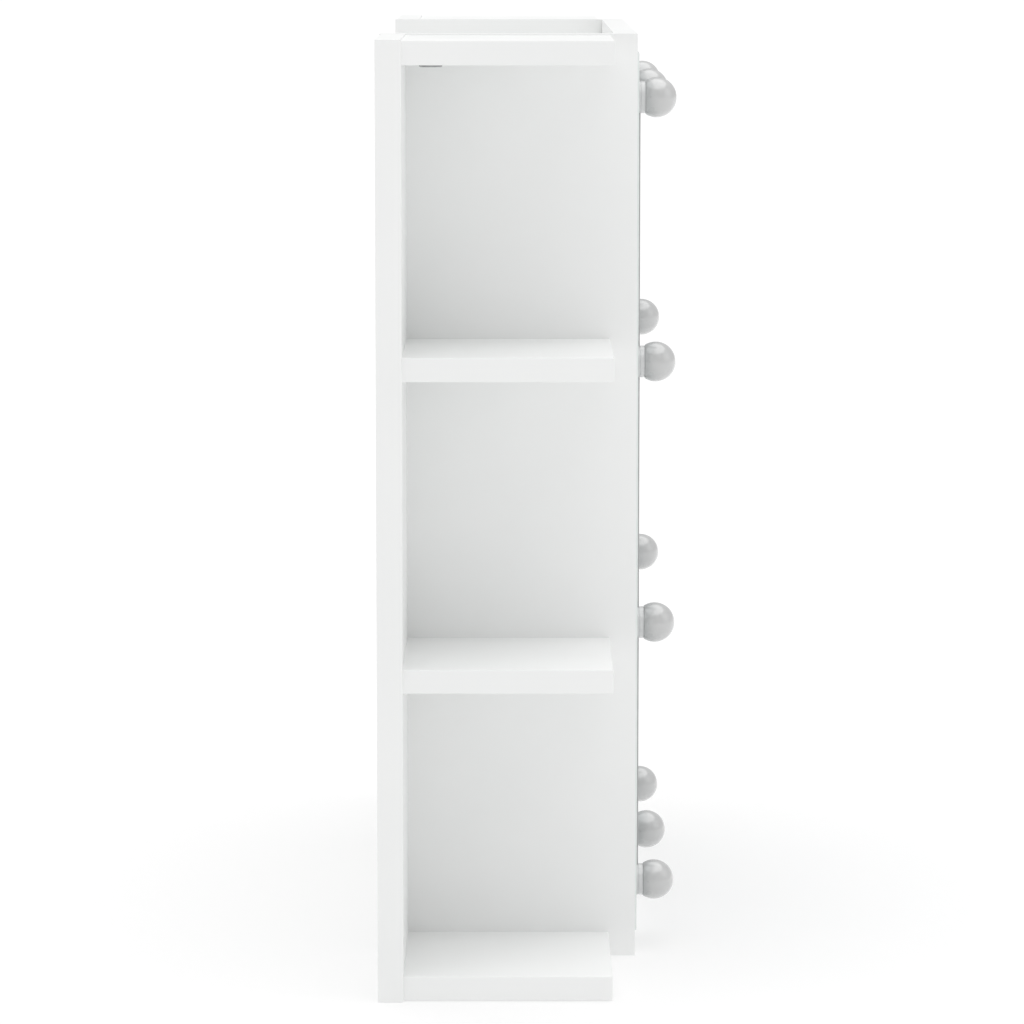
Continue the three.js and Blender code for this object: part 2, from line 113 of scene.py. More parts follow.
def lighting():
    """An even surround, a wide soft light overhead and a soft box in front."""
    world = bpy.data.worlds.new("surround")
    world.use_nodes = True
    back = world.node_tree.nodes["Background"]
    back.inputs["Color"].default_value = (1, 1, 1, 1)
    back.inputs["Strength"].default_value = 0.6
    bpy.context.scene.world = world
    middle = (cad_box[0] + cad_box[1]) / 2
    softbox("front_fill", place=(-0.9, -2.6, 1.5), target=middle, size=1.8, power=5)
    sky = bpy.data.lights.new("overhead", "SUN")
    sky.energy = 1.7
    sky.angle = math.radians(80)
    bpy.context.collection.objects.link(bpy.data.objects.new("overhead", sky))
    bpy.context.scene.view_settings.view_transform = "Standard"


# ---- Materials ----


def material(name, color, roughness, metallic=0.0, **sockets):
    """A Principled material whose plain numbers sit on the shader's own sockets."""
    mat = bpy.data.materials.new(name)
    mat.use_nodes = True
    shader = mat.node_tree.nodes["Principled BSDF"]
    shader.inputs["Base Color"].default_value = (*color, 1)
    shader.inputs["Roughness"].default_value = roughness
    shader.inputs["Metallic"].default_value = metallic
    for socket, value in sockets.items():
        shader.inputs[socket.replace("_", " ")].default_value = value
    return mat


def noise(mat, size, detail=2.0, stretch=(1, 1, 1)):
    """A noise field with features of about that size in metres, drawn out along an axis."""
    tree = mat.node_tree
    place = tree.nodes.new("ShaderNodeTexCoord")
    mapping = tree.nodes.new("ShaderNodeMapping")
    field = tree.nodes.new("ShaderNodeTexNoise")
    mapping.inputs["Scale"].default_value = [1 / s for s in stretch]
    field.inputs["Scale"].default_value = 1 / size
    field.inputs["Detail"].default_value = detail
    tree.links.new(place.outputs["Object"], mapping.inputs["Vector"])
    tree.links.new(mapping.outputs["Vector"], field.inputs["Vector"])
    return field.outputs[0]


def shader_input(mat, socket):
    return mat.node_tree.nodes["Principled BSDF"].inputs[socket]


def vary_color(mat, field, dark, light, span=(0.35, 0.65)):
    """Runs the base colour from dark to light as the field crosses the span."""
    ramp = mat.node_tree.nodes.new("ShaderNodeValToRGB")
    for element, place, color in zip(ramp.color_ramp.elements, span, (dark, light)):
        element.position = place
        element.color = (*color, 1)
    mat.node_tree.links.new(field, ramp.inputs["Fac"])
    mat.node_tree.links.new(ramp.outputs["Color"], shader_input(mat, "Base Color"))


def vary_roughness(mat, field, low, high, span=(0.3, 0.7)):
    """Runs the roughness from low to high as the field crosses the span."""
    spread = mat.node_tree.nodes.new("ShaderNodeMapRange")
    spread.inputs["From Min"].default_value = span[0]
    spread.inputs["From Max"].default_value = span[1]
    spread.inputs["To Min"].default_value = low
    spread.inputs["To Max"].default_value = high
    mat.node_tree.links.new(field, spread.inputs["Value"])
    mat.node_tree.links.new(spread.outputs["Result"], shader_input(mat, "Roughness"))


def bump(mat, field, depth, strength=1.0):
    """Adds relief of that depth in metres, on top of any relief already there."""
    relief = mat.node_tree.nodes.new("ShaderNodeBump")
    relief.inputs["Distance"].default_value = depth
    relief.inputs["Strength"].default_value = strength
    normal = shader_input(mat, "Normal")
    if normal.is_linked:
        mat.node_tree.links.new(normal.links[0].from_socket, relief.inputs["Normal"])
    mat.node_tree.links.new(field, relief.inputs["Height"])
    mat.node_tree.links.new(relief.outputs["Normal"], normal)


def melamine():
    """White melamine board: faint clouding, a fine pearl grain and a satin face."""
    mat = material("white_melamine", (0.93, 0.937, 0.932), 0.42, Specular_IOR_Level=0.35)
    vary_color(mat, noise(mat, 0.12, 3), (0.922, 0.93, 0.925), (0.94, 0.946, 0.941))
    vary_roughness(mat, noise(mat, 0.035, 3), 0.36, 0.48)
    bump(mat, noise(mat, 0.0012, 2), 0.00002, 0.5)
    bump(mat, noise(mat, 0.02, 2), 0.00003, 0.35)
    return mat


def hardboard():
    """The thin back panel: the board's white, a little duller, with a fibrous grain."""
    mat = material("white_hardboard", (0.82, 0.83, 0.82), 0.6)
    vary_color(mat, noise(mat, 0.03, 4), (0.812, 0.821, 0.81), (0.829, 0.838, 0.829))
    vary_roughness(mat, noise(mat, 0.01, 3), 0.52, 0.68)
    bump(mat, noise(mat, 0.0016, 3, (1, 1, 4)), 0.00004, 0.6)
    return mat


def silver():
    """The silvered face of the glass, with the faintest haze."""
    mat = material("mirror_silver", (0.7, 0.735, 0.74), 0.02, 1.0)
    vary_roughness(mat, noise(mat, 0.06, 3), 0.012, 0.035)
    vary_color(mat, noise(mat, 0.25, 2), (0.69, 0.725, 0.73), (0.71, 0.745, 0.75))
    return mat


def glass_edge():
    """The ground edge of clear glass: pale green-white and half polished."""
    mat = material("glass_edge", (0.84, 0.88, 0.865), 0.16, Specular_IOR_Level=0.7)
    vary_color(mat, noise(mat, 0.01, 3), (0.82, 0.87, 0.85), (0.87, 0.9, 0.89))
    bump(mat, noise(mat, 0.0004, 2), 0.000012, 0.5)
    return mat


def backing_paint():
    """The grey paint on the back of the glass."""
    mat = material("backing_paint", (0.36, 0.37, 0.38), 0.55)
    vary_color(mat, noise(mat, 0.01, 4), (0.33, 0.34, 0.35), (0.39, 0.4, 0.41))
    bump(mat, noise(mat, 0.0008, 2), 0.00003, 0.5)
    return mat


def gloss_white():
    """Moulded glossy white plastic with a trace of flow marks."""
    mat = material("gloss_white", (0.76, 0.765, 0.765), 0.18, Coat_Weight=0.5, Coat_Roughness=0.06)
    vary_color(mat, noise(mat, 0.012, 3), (0.748, 0.753, 0.753), (0.772, 0.777, 0.777))
    vary_roughness(mat, noise(mat, 0.004, 3), 0.14, 0.24)
    bump(mat, noise(mat, 0.003, 2, (1, 1, 3)), 0.000015, 0.4)
    return mat


def frosted():
    """The unlit lamp globe: a milky diffuser under a smooth skin that brightens at its rim."""
    mat = material(
        "frosted_globe",
        (0.55, 0.553, 0.552),
        0.3,
        IOR=1.6,
        Coat_Weight=1.0,
        Coat_Roughness=0.22,
        Coat_IOR=1.9,
    )
    vary_color(mat, noise(mat, 0.012, 2), (0.542, 0.545, 0.544), (0.558, 0.562, 0.56))
    vary_roughness(mat, noise(mat, 0.006, 2), 0.26, 0.36)
    return mat


def soft_grey():
    """Grey cable insulation, matt and slightly grained."""
    mat = material("grey_insulation", (0.4, 0.405, 0.405), 0.5)
    vary_color(mat, noise(mat, 0.01, 3), (0.38, 0.385, 0.385), (0.43, 0.435, 0.435))
    bump(mat, noise(mat, 0.0006, 2), 0.00002, 0.5)
    return mat


def black_plastic():
    """Black moulded plastic with an eroded texture."""
    mat = material("black_plastic", (0.02, 0.02, 0.022), 0.42)
    vary_color(mat, noise(mat, 0.006, 3), (0.016, 0.016, 0.018), (0.028, 0.028, 0.03))
    vary_roughness(mat, noise(mat, 0.002, 2), 0.36, 0.5)
    bump(mat, noise(mat, 0.0005, 2), 0.00003, 0.6)
    return mat


def zinc_plate():
    """Bright zinc on pressed steel, with fine drawn lines along the height."""
    mat = material("zinc_plate", (0.62, 0.63, 0.65), 0.3, 1.0)
    vary_color(mat, noise(mat, 0.005, 4), (0.56, 0.57, 0.6), (0.68, 0.685, 0.7))
    vary_roughness(mat, noise(mat, 0.0012, 3, (1, 1, 8)), 0.24, 0.42)
    bump(mat, noise(mat, 0.0005, 2, (1, 1, 12)), 0.000012, 0.5)
    return mat


def cast_zinc():
    """Dull cast zinc with a pitted skin."""
    mat = material("cast_zinc", (0.36, 0.365, 0.37), 0.5, 0.6)
    vary_color(mat, noise(mat, 0.003, 4), (0.3, 0.305, 0.31), (0.42, 0.425, 0.43))
    vary_roughness(mat, noise(mat, 0.002, 3), 0.4, 0.62)
    bump(mat, noise(mat, 0.0007, 3), 0.00005, 0.7)
    return mat


def velvet():
    """Short grey velvet: a fine pile, patches brushed both ways and a pale sheen."""
    mat = material(
        "grey_velvet", (0.2, 0.2, 0.22), 0.95, Sheen_Weight=0.6, Sheen_Roughness=0.35
    )
    vary_color(mat, noise(mat, 0.008, 3), (0.185, 0.185, 0.203), (0.225, 0.225, 0.246))
    bump(mat, noise(mat, 0.0009, 3, (1, 2.5, 1)), 0.00025, 0.7)
    bump(mat, noise(mat, 0.007, 2), 0.0004, 0.4)
    return mat


def clear_bumper():
    """Clear soft plastic, for the door's buffers and the status lens."""
    mat = material("clear_bumper", (0.8, 0.82, 0.82), 0.12, Transmission_Weight=0.6, IOR=1.45)
    vary_roughness(mat, noise(mat, 0.002, 2), 0.08, 0.2)
    return mat


# ---- Mesh tools ----


def smooth(mesh, angle=38):
    """Shades the mesh smooth, but for the edges sharper than the angle."""
    mesh.shade_smooth()
    mesh.set_sharp_from_angle(angle=math.radians(angle))
    return mesh


def mesh_from(name, bm):
    """A smooth-shaded mesh of the bmesh, with its faces pointing out."""
    bmesh.ops.recalc_face_normals(bm, faces=bm.faces)
    mesh = bpy.data.meshes.new(name)
    bm.to_mesh(mesh)
    bm.free()
    return smooth(mesh)


def lathe(name, profile, segments=48, closed=False):
    """A turned body about Z. The (radius, height) profile runs from axis to axis, or closes."""
    bm = bmesh.new()
    verts = [bm.verts.new((r, 0, z)) for r, z in profile]
    pairs = list(zip(verts, verts[1:])) + ([(verts[-1], verts[0])] if closed else [])
    edges = [bm.edges.new(pair) for pair in pairs]
    bmesh.ops.spin(
        bm, geom=verts + edges, cent=(0, 0, 0), axis=(0, 0, 1), angle=2 * math.pi, steps=segments
    )
    bmesh.ops.remove_doubles(bm, verts=bm.verts, dist=1e-6)
    bmesh.ops.dissolve_degenerate(bm, edges=bm.edges, dist=1e-7)
    return mesh_from(name, bm)


def slab(name, lo, hi, radius=0.0, segments=3):
    """A box between two corners, with rounded edges."""
    bm = bmesh.new()
    lo, hi = Vector(lo), Vector(hi)
    size = hi - lo
    place = Matrix.Translation((lo + hi) / 2) @ Matrix.Diagonal((*size, 1))
    bmesh.ops.create_cube(bm, size=1, matrix=place)
    if radius:
        bmesh.ops.bevel(
            bm, geom=bm.edges[:], offset=radius, segments=segments, profile=0.5, affect="EDGES"
        )
    return mesh_from(name, bm)


def carve(mesh, *cutters):
    """The mesh with the cutters' volumes taken out of it."""
    block = bpy.data.objects.new(mesh.name, mesh)
    bpy.context.collection.objects.link(block)
    tools = []
    for cutter in cutters:
        tool = bpy.data.objects.new("tool", cutter)
        bpy.context.collection.objects.link(tool)
        step = block.modifiers.new("cut", "BOOLEAN")
        step.operation = "DIFFERENCE"
        step.solver = "EXACT"
        step.object = tool
        tools.append(tool)
    graph = bpy.context.evaluated_depsgraph_get()
    result = bpy.data.meshes.new_from_object(block.evaluated_get(graph))
    for spare in [block, *tools]:
        bpy.data.objects.remove(spare)
    result.name = mesh.name
    return smooth(result)


def soften(obj, width, segments=2, angle=40):
    """Rounds the edges sharper than the angle."""
    edge = obj.modifiers.new("edge_radius", "BEVEL")
    edge.width = width
    edge.segments = segments
    edge.limit_method = "ANGLE"
    edge.angle_limit = math.radians(angle)
    edge.harden_normals = True
    return obj


def piece(name, mesh, mat, body, at=(0, 0, 0), turn=UP_FACING):
    """Places a mesh as a piece that rides on a body."""
    obj = bpy.data.objects.new(name, mesh)
    bpy.context.collection.objects.link(obj)
    obj.matrix_world = Matrix.Translation(at) @ turn
    if not mesh.materials:
        mesh.materials.append(mat)
    even = obj.modifiers.new("even_normals", "WEIGHTED_NORMAL")
    even.keep_sharp = True
    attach(obj, body)
    return obj


def centre(node):
    """The middle of a CAD node's box."""
    lo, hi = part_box(node)
    return (lo + hi) / 2


def dress(node, mat, radius, segments=3):
    """Gives a carried-over CAD node its material and rounded edges."""
    sharp = 30
    obj = NODES[node]
    if obj.data.attributes.get("custom_normal"):
        obj.data.attributes.remove(obj.data.attributes["custom_normal"])
    smooth(obj.data, sharp)
    obj.data.materials.clear()
    obj.data.materials.append(mat)
    soften(obj, radius, segments, sharp)


# ---- Screws ----


def screw_mesh(radius):
    """A low countersunk head with a cross recess, facing +Z, its rim on the plane z = 0."""
    dome = radius * 0.12
    profile = [
        (0, -0.6 * radius),
        (0.6 * radius, -0.6 * radius),
        (radius, -0.04 * radius),
        (radius, 0),
        (0.75 * radius, 0.7 * dome),
        (0.4 * radius, dome),
        (0, dome),
    ]
    head = lathe("screw_head", profile, 32)
    arm, width, depth = 0.55 * radius, 0.11 * radius, 0.4 * radius
    bars = [
        slab("recess", (-arm, -width, -depth), (arm, width, 2 * dome)),
        slab("recess", (-width, -arm, -depth), (width, arm, 2 * dome)),
    ]
    return carve(head, *bars)


def screws(name, radius, mat, body, places, turn):
    """One numbered screw at each place, all sharing a mesh."""
    mesh = screw_mesh(radius)
    mesh.materials.append(mat)
    for i, at in enumerate(places, 1):
        piece(f"{name}_{i}", mesh, mat, body, at, turn)


# ---- Cabinet boards ----

BOARD_RADIUS = 0.5 * MM
BITE = 1.2 * MM


def joined_board(node, mat, sides, *cuts):
    """A board whose named sides run a little way into the boards that they are fixed to."""
    lo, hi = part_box(node)
    for sign, letter in sides:
        axis = "xyz".index(letter)
        if sign == "-":
            lo[axis] -= BITE
        else:
            hi[axis] += BITE
    board = slab(f"{node}_board", lo, hi, BOARD_RADIUS, 3)
    if cuts:
        board = carve(board, *cuts)
    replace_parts(piece(f"{node}_board", board, mat, "cabinet"), node)


def hanger_hollows(word):
    """The shallow rebate that a hanger plate lies in, and the pocket under it for a screw head."""
    slack, half_width, half_height, depth = 0.3 * MM, 7 * MM, 9 * MM, 8.8 * MM
    lo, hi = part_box(f"{word}_hanger_plate")
    middle = (lo + hi) / 2
    rear = hi.y + MM
    rebate = slab(
        "rebate",
        (lo.x - slack, lo.y - slack, lo.z - slack),
        (hi.x + slack, rear, hi.z + slack),
    )
    pocket = slab(
        "pocket",
        (middle.x - half_width, hi.y - depth, middle.z - half_height),
        (middle.x + half_width, rear, middle.z + half_height),
    )
    return rebate, pocket


def boards(white, back_white):
    """The cabinet's, the door's and the shelf units' boards, and the thin back panel."""
    for node in ("side_panel_left", "side_panel_right", "door_board"):
        dress(node, white, BOARD_RADIUS)
    dress("back_panel", back_white, 0.3 * MM)
    for node in ("top_panel", "bottom_panel", "inner_shelf_upper", "inner_shelf_lower"):
        joined_board(node, white, ("-x", "+x"))
    for word, inner in (("left", "+x"), ("right", "-x")):
        joined_board(f"{word}_shelf_back", white, (inner,), *hanger_hollows(word))
        for level in ("bottom", "lower", "upper", "top"):
            joined_board(f"{word}_shelf_{level}", white, (inner, "+y"))


def back_screws(steel):
    """Flush screws through each shelf unit's back board into the ends of its boards."""
    radius, sunk, shares = 3.4 * MM, 0.1 * MM, (0.18, 0.82)
    for word in ("left", "right"):
        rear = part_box(f"{word}_shelf_back")[1].y - sunk
        places = []
        for level in ("bottom", "lower", "upper", "top"):
            lo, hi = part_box(f"{word}_shelf_{level}")
            z = (lo.z + hi.z) / 2
            places += [(lo.x + share * (hi.x - lo.x), rear, z) for share in shares]
        screws(f"{word}_back_screw", radius, steel, "cabinet", places, WALL_FACING)


def panel_nails(steel):
    """Small round nail heads round the edge of the thin back panel."""
    lo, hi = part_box("back_panel")
    inset, proud, rim, flat = 6 * MM, 0.12 * MM, 1.4 * MM, 1.1 * MM
    head = lathe("nail_head", [(0, -MM), (flat, -MM), (rim, 0), (flat, proud), (0, proud)], 20)
    across, up = hi.x - lo.x - 2 * inset, hi.z - lo.z - 2 * inset
    columns = [lo.x + inset + share * across for share in (0, 0.25, 0.5, 0.75, 1)]
    rows = [lo.z + inset + share * up for share in (0, 0.2, 0.4, 0.6, 0.8, 1)]
    edge = [(x, z) for z in (rows[0], rows[-1]) for x in columns]
    edge += [(x, z) for x in (columns[0], columns[-1]) for z in rows[1:-1]]
    for i, (x, z) in enumerate(edge, 1):
        piece(f"back_nail_{i}", head, steel, "cabinet", (x, hi.y, z), WALL_FACING)


def shelf_pins(steel):
    """A small steel pin with a flat collar under each corner of the inner shelves."""
    collar, thick, radius, length = 4 * MM, 1.2 * MM, 2.5 * MM, 8 * MM
    inset, drop = 20 * MM, 2.6 * MM
    profile = [(0, 0), (collar, 0), (collar, thick), (radius, thick), (radius, length), (0, length)]
    pin = lathe("shelf_pin", profile, 32)
    for node in ("inner_shelf_lower", "inner_shelf_upper"):
        lo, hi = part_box(node)
        for side, x, turn in (("left", lo.x, RIGHT_FACING), ("right", hi.x, LEFT_FACING)):
            for i, y in enumerate((lo.y + inset, hi.y - inset), 1):
                at = (x, y, lo.z - drop)
                name = f"{node}_{side}_pin_{i}"
                soften(piece(name, pin, steel, "cabinet", at, turn), 0.3 * MM)


def cam_locks(zinc):
    """Round cam fittings with a cross slot, in the undersides of the top shelf boards."""
    for word in ("left", "right"):
        node = f"{word}_cam_lock"
        lo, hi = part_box(node)
        radius, height = (hi.x - lo.x) / 2, hi.z - lo.z
        profile = [
            (0, -height),
            (radius * 0.93, -height),
            (radius * 0.93, -2.6 * MM),
            (radius, -2.2 * MM),
            (radius, -0.5 * MM),
            (radius - 0.5 * MM, 0),
            (radius * 0.72, 0),
            (radius * 0.68, -0.4 * MM),
            (0, -0.4 * MM),
        ]
        arm, width, depth = 0.55 * radius, 0.9 * MM, 3 * MM
        cross = [
            slab("cross", (-arm, -width, -depth), (arm, width, MM)),
            slab("cross", (-width, -arm, -depth), (width, arm, MM)),
        ]
        cam = carve(lathe(f"{word}_cam", profile, 64), *cross)
        at = ((lo.x + hi.x) / 2, (lo.y + hi.y) / 2, lo.z)
        body = piece(f"{word}_cam", cam, zinc, "cabinet", at, DOWN_FACING)
        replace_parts(body, node)
        soften(body, 0.15 * MM)


def hanger_plates(steel):
    """The keyhole plates on the shelf units' backs, with a screw at each end."""
    inset, sunk, radius = 5 * MM, 0.15 * MM, 2.6 * MM
    for word in ("left", "right"):
        node = f"{word}_hanger_plate"
        dress(node, steel, 0.35 * MM)
        lo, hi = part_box(node)
        z = (lo.z + hi.z) / 2
        places = [(x, hi.y - sunk, z) for x in (lo.x + inset, hi.x - inset)]
        screws(f"{word}_hanger_screw", radius, steel, "cabinet", places, WALL_FACING)


def cable_grommet(black):
    """The lined cable hole in the back panel, turned smooth."""
    lo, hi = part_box("cable_grommet")
    outer, length = (hi.x - lo.x) / 2, hi.y - lo.y
    tube, bore, lip = outer - 3 * MM, outer - 5 * MM, 1.5 * MM
    profile = [
        (bore, 0.8 * MM),
        (bore + 0.8 * MM, 0),
        (outer - 0.7 * MM, 0),
        (outer, 0.7 * MM),
        (outer, lip),
        (tube, lip),
        (tube, length),
        (bore, length),
    ]
    at = ((lo.x + hi.x) / 2, lo.y, (lo.z + hi.z) / 2)
    ring = lathe("cable_sleeve", profile, 64, closed=True)
    sleeve = piece("cable_sleeve", ring, black, "cabinet", at, WALL_FACING)
    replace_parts(sleeve, "cable_grommet")
    soften(sleeve, 0.2 * MM)


# ---- Lamps ----


def globe_mesh(radius, back, seat, spigot):
    """A round globe about +Z with its centre at 0: a spigot, a small foot ring and the ball."""
    start, steps = math.asin(seat / radius), 36
    ball = [start + (math.pi / 2 - start) * i / steps for i in range(steps + 1)]
    profile = [(0, back), (spigot, back), (spigot, seat)]
    profile += [(radius * math.cos(a), radius * math.sin(a)) for a in ball[:-1]]
    profile.append((0, radius))
    return lathe("globe", profile, 72)


def socket_mesh(radius, length):
    """The white collar under a globe: a skirt, a fine groove, a barrel and a rolled lip."""
    bore, floor_z = radius - 2.1 * MM, length - 2 * MM
    profile = [
        (0, 0),
        (radius, 0),
        (radius, 0.9 * MM),
        (radius - 0.25 * MM, 1.1 * MM),
        (radius - 0.25 * MM, 1.3 * MM),
        (radius, 1.5 * MM),
        (radius, length - 0.35 * MM),
        (radius - 0.1 * MM, length - 0.1 * MM),
        (radius - 0.35 * MM, length),
        (bore, length),
        (bore, floor_z),
        (0, floor_z),
    ]
    return lathe("socket", profile, 72)


def lamps(globe_white, socket_white):
    """A fine globe and socket in the place of each CAD pair, all sharing two meshes."""
    lo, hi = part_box("lamp_globe_1")
    s_lo, s_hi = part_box("lamp_socket_1")
    radius = (hi.x - lo.x) / 2
    ball_y = lo.y + radius
    collar_radius = (s_hi.x - s_lo.x) / 2
    wall, foot_gap, overlap = 2.4 * MM, 0.3 * MM, 0.25 * MM
    globe = globe_mesh(radius, ball_y - hi.y, ball_y - s_lo.y + foot_gap, collar_radius - wall)
    collar = socket_mesh(collar_radius, s_hi.y - s_lo.y + overlap)
    count = sum(node.startswith("lamp_globe_") for node in NODES)
    for i in range(1, count + 1):
        middle = centre(f"lamp_globe_{i}")
        at = (middle.x, ball_y, middle.z)
        ball = piece(f"globe_{i}", globe, globe_white, "door", at, FRONT_FACING)
        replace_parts(ball, f"lamp_globe_{i}")
        at = (middle.x, s_hi.y, middle.z)
        cup = piece(f"socket_{i}", collar, socket_white, "door", at, FRONT_FACING)
        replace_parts(cup, f"lamp_socket_{i}")


def swept(name, path, section, closed, up):
    """A section of (across, up) points carried along a path of points, facing up throughout."""
    bm = bmesh.new()
    rings = []
    count = len(path)
    for i, point in enumerate(path):
        before = path[i - 1] if closed or i else point
        after = path[(i + 1) % count] if closed or i + 1 < count else point
        along = (Vector(after) - Vector(before)).normalized()
        normal = up(along)
        across = along.cross(normal).normalized()
        ring = [bm.verts.new(Vector(point) + across * a + normal * b) for a, b in section]
        rings.append(ring)
    joins = count if closed else count - 1
    sides = len(section)
    for i in range(joins):
        here, there = rings[i], rings[(i + 1) % count]
        for j in range(sides):
            k = (j + 1) % sides
            bm.faces.new((here[j], here[k], there[k], there[j]))
    if not closed:
        bm.faces.new(rings[0])
        bm.faces.new(rings[-1])
    return mesh_from(name, bm)


def lamp_lead(grey):
    """The flat lead that links the lamps: two soft cores with a shallow groove between them."""
    lo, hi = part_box("lamp_lead")
    width, thick = 5 * MM, hi.y - lo.y
    half, turn = width / 2, math.radians(22.5)
    x, z = (hi.x - lo.x) / 2 - width, (hi.z - lo.z) / 2 - width
    middle = centre("lamp_lead")
    path = []
    for corner, (sx, sz) in enumerate(((1, 1), (-1, 1), (-1, -1), (1, -1))):
        for step in range(5):
            a = corner * math.pi / 2 + step * turn
            across, up = sx * x + half * math.cos(a), sz * z + half * math.sin(a)
            path.append((middle.x + across, hi.y, middle.z + up))
    section = [(-half, 0), (half, 0)]
    lobe, base = half / 2, 0.25 * thick
    for offset in (lobe, -lobe):
        for step in range(9):
            a = step * turn
            section.append((offset + 0.98 * lobe * math.cos(a), base + (thick - base) * math.sin(a)))
    ribbon = swept("ribbon", path, section, True, lambda along: Vector((0, -1, 0)))
    lead = piece("lamp_ribbon", ribbon, grey, "door")
    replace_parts(lead, "lamp_lead")


def feed_lead(grey, black):
    """The round lead through the door to the driver, with a rubber bush where it comes out."""
    lo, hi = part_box("feed_lead")
    radius, bend, x = 2 * MM, 10 * MM, (lo.x + hi.x) / 2
    top, run = hi.z - radius, hi.y - radius
    path = [(x, lo.y + share * (run - bend - lo.y), top) for share in (0, 0.5)]
    bend_steps, sides = 12, 20
    for step in range(bend_steps + 1):
        a = math.pi / 2 * (1 - step / bend_steps)
        path.append((x, run - bend + bend * math.cos(a), top - bend + bend * math.sin(a)))
    path.append((x, run, lo.z))
    section = []
    for step in range(sides):
        a = 2 * math.pi * step / sides
        section.append((radius * math.cos(a), radius * math.sin(a)))
    across = Vector((1, 0, 0))
    tube = swept("feed_tube", path, section, False, lambda along: across.cross(along).normalized())
    lead = piece("feed_tube", tube, grey, "door")
    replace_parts(lead, "feed_lead")
    door_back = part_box("door_board")[1].y
    rim, shoulder, tall = radius + 2.6 * MM, 0.8 * MM, 1.8 * MM
    profile = [(radius, 0), (rim, 0), (rim, shoulder), (radius + 1.2 * MM, tall), (radius, tall)]
    bush = lathe("feed_bush", profile, 40, closed=True)
    ring = piece("feed_bush", bush, black, "door", (x, door_back, top), WALL_FACING)
    soften(ring, 0.2 * MM)


# ---- Door ----


def mirror(silvered, edge, paint):
    """The glass pane with a ground edge: silver face, glass edges and a painted back."""
    lo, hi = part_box("mirror_glass")
    pane = slab("mirror_pane", lo, hi, 0.7 * MM, 2)
    front, rim, back = range(3)
    for mat in (silvered, edge, paint):
        pane.materials.append(mat)
    for face in pane.polygons:
        if abs(face.normal.y) < 0.98:
            face.material_index = rim
        else:
            face.material_index = front if face.normal.y < 0 else back
    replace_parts(piece("mirror_pane", pane, silvered, "door"), "mirror_glass")


def bumpers(clear):
    """Clear round buffers on the door's back, at its free corners."""
    lo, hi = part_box("door_board")
    r, tall, inset = 4.5 * MM, MM, 14 * MM
    dome = [(0, 0), (r, 0), (0.96 * r, 0.4 * tall), (0.75 * r, 0.8 * tall), (0.35 * r, tall), (0, tall)]
    pad = lathe("bumper", dome, 36)
    x = lo.x + inset
    for word, panel in (("upper", "top_panel"), ("lower", "bottom_panel")):
        at = (x, hi.y, centre(panel).z)
        piece(f"bumper_{word}", pad, clear, "door", at, WALL_FACING)


def strike_plate(steel):
    """The steel plate that meets the catch, with a screw near each end."""
    dress("strike_plate", steel, 0.3 * MM)
    lo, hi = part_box("strike_plate")
    inset, sunk, radius = 7 * MM, 0.05 * MM, 2.6 * MM
    x = (lo.x + hi.x) / 2
    places = [(x, hi.y - sunk, z) for z in (lo.z + inset, hi.z - inset)]
    screws("strike_screw", radius, steel, "door", places, WALL_FACING)


def magnet_catch(white, steel):
    """The catch housing with two steel pole strips in its mouth and two screws in its side."""
    lo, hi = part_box("magnet_catch")
    middle = (lo + hi) / 2
    wall, mouth_depth, mouth_half = 3 * MM, 1.5 * MM, 10 * MM
    mouth = slab(
        "mouth",
        (lo.x + wall, lo.y - MM, middle.z - mouth_half),
        (hi.x - wall, lo.y + mouth_depth, middle.z + mouth_half),
    )
    slot_depth, slot_half = 0.6 * MM, 0.7 * MM
    slots = [
        slab(
            "slot",
            (hi.x - slot_depth, lo.y + 4 * MM, middle.z + dz - slot_half),
            (hi.x + MM, hi.y - wall, middle.z + dz + slot_half),
        )
        for dz in (-6 * MM, -2 * MM, 2 * MM, 6 * MM)
    ]
    housing = carve(slab("catch_housing", lo, hi, 1.2 * MM, 3), mouth, *slots)
    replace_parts(piece("catch_housing", housing, white, "cabinet"), "magnet_catch")
    inset, pole_half, pole_tall, sunk = 4.2 * MM, 0.7 * MM, 9 * MM, 0.3 * MM
    for i, x in enumerate((lo.x + inset, hi.x - inset), 1):
        pole = slab(
            "catch_pole",
            (x - pole_half, lo.y + sunk, middle.z - pole_tall),
            (x + pole_half, lo.y + wall, middle.z + pole_tall),
            0.25 * MM,
            2,
        )
        piece(f"catch_pole_{i}", pole, steel, "cabinet")
    places = [(hi.x - 0.1 * MM, middle.y, middle.z + dz) for dz in (-14 * MM, 14 * MM)]
    screws("catch_screw", 2.4 * MM, steel, "cabinet", places, RIGHT_FACING)


# ---- Driver ----


def lid_seam(lo, hi, y):
    """The thin groove round a box where its lid meets its base."""
    half, depth = 0.25 * MM, 0.5 * MM
    band = slab("seam", (lo.x - MM, y - half, lo.z - MM), (hi.x + MM, y + half, hi.z + MM))
    core = slab(
        "seam_core",
        (lo.x + depth, y - MM, lo.z + depth),
        (hi.x - depth, y + MM, hi.z - depth),
    )
    return carve(band, core)


def vent_slots(face_y, middle):
    """A row of upright slots beside the button."""
    count, first, pitch = 7, 2 * MM, 3.6 * MM
    width, depth, half_height = 1.6 * MM, 1.4 * MM, 9 * MM
    slots = []
    for i in range(count):
        x = middle.x + first + i * pitch
        low = (x, face_y - depth, middle.z - half_height)
        slots.append(slab("vent", low, (x + width, face_y + MM, middle.z + half_height)))
    return slots


def round_hole(name, radius, depth, at, turn):
    """A cutter for a round hole that goes down along -Z from its place, before it is turned."""
    tool = lathe(name, [(0, -depth), (radius, -depth), (radius, MM), (0, MM)], 48)
    tool.transform(Matrix.Translation(at) @ turn)
    return tool


